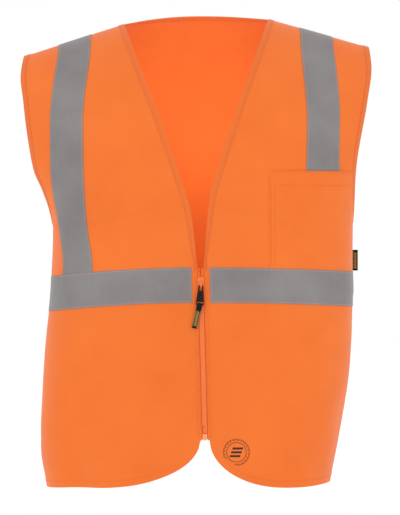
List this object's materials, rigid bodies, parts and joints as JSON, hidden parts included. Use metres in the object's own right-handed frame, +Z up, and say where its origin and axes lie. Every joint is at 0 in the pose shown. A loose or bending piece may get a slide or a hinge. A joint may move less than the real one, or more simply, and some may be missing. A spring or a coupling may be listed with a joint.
{
  "type": "safety vest",
  "caption": "Sleeveless zip-front high-visibility vest with reflective tape round the waist and over the shoulders, a chest pocket and a swinging zip puller.",
  "frame": {"origin": "midpoint between the neck points, where the wearer's shoulders carry the vest", "axes": "+Z up from hem to neck, -Y out of the front, +X to the wearer's left"},
  "size_m": [0.5154, 0.2384, 0.6956],
  "materials": {
    "orange_knit": "matte tricot knit",
    "orange_trim": "matte woven tape",
    "reflective_tape": "silver glass-bead satin",
    "orange_moulding": "moulded plastic with a low sheen",
    "black_moulding": "semi-gloss moulding",
    "black_woven": "woven label"
  },
  "bodies": {
    "vest": {"back_panel": "orange_knit", "front_panel_right": "orange_knit", "front_panel_left": "orange_knit", "neck_binding_right": "orange_trim", "neck_binding_left": "orange_trim", "neck_binding_back": "orange_trim", "armhole_binding_right": "orange_trim", "armhole_binding_left": "orange_trim", "waist_tape_right": "reflective_tape", "waist_tape_left": "reflective_tape", "waist_tape_back": "reflective_tape", "shoulder_tape_right_front": "reflective_tape", "shoulder_tape_left_front": "reflective_tape", "shoulder_tape_right_back": "reflective_tape", "shoulder_tape_left_back": "reflective_tape", "chest_pocket": "orange_knit", "shoulder_stay_right": "orange_trim", "shoulder_stay_left": "orange_trim", "zip_tape_right": "orange_trim", "zip_tape_left": "orange_trim", "zip_teeth_right": "orange_moulding", "zip_teeth_left": "orange_moulding", "zip_top_stop_right": "orange_moulding", "zip_top_stop_left": "orange_moulding", "zip_box": "orange_moulding", "zip_pin": "orange_moulding"},
    "slider": {"zip_slider": "orange_moulding", "slider_bridge": "orange_moulding"},
    "puller": {"zip_puller": "black_moulding"},
    "tag": {"pull_tag": "black_woven"},
    "label": {"side_label": "black_woven"}
  },
  "joints": [
    {"name": "zip_slide", "type": "slide", "parent": "vest", "child": "slider", "axis": [-0.0265, 0, 0.9996], "range_m": [-0.21, 0.009]},
    {"name": "pull_swing", "type": "hinge", "parent": "slider", "child": "puller", "pos_m": [0.00061, -0.12505, -0.38749], "axis": [-0.9982, 0, 0.0607], "range_deg": [0, 130]},
    {"name": "tag_swing", "type": "hinge", "parent": "puller", "child": "tag", "pos_m": [-0.00104, -0.12505, -0.41454], "axis": [-0.9982, 0, 0.0607], "range_deg": [-4, 45]},
    {"name": "label_flap", "type": "hinge", "parent": "vest", "child": "label", "pos_m": [0.2238, 0, -0.3505], "axis": [0, 0, 1], "range_deg": [-70, 70], "stiffness_Nm_per_rad": 0.0001}
  ]
}
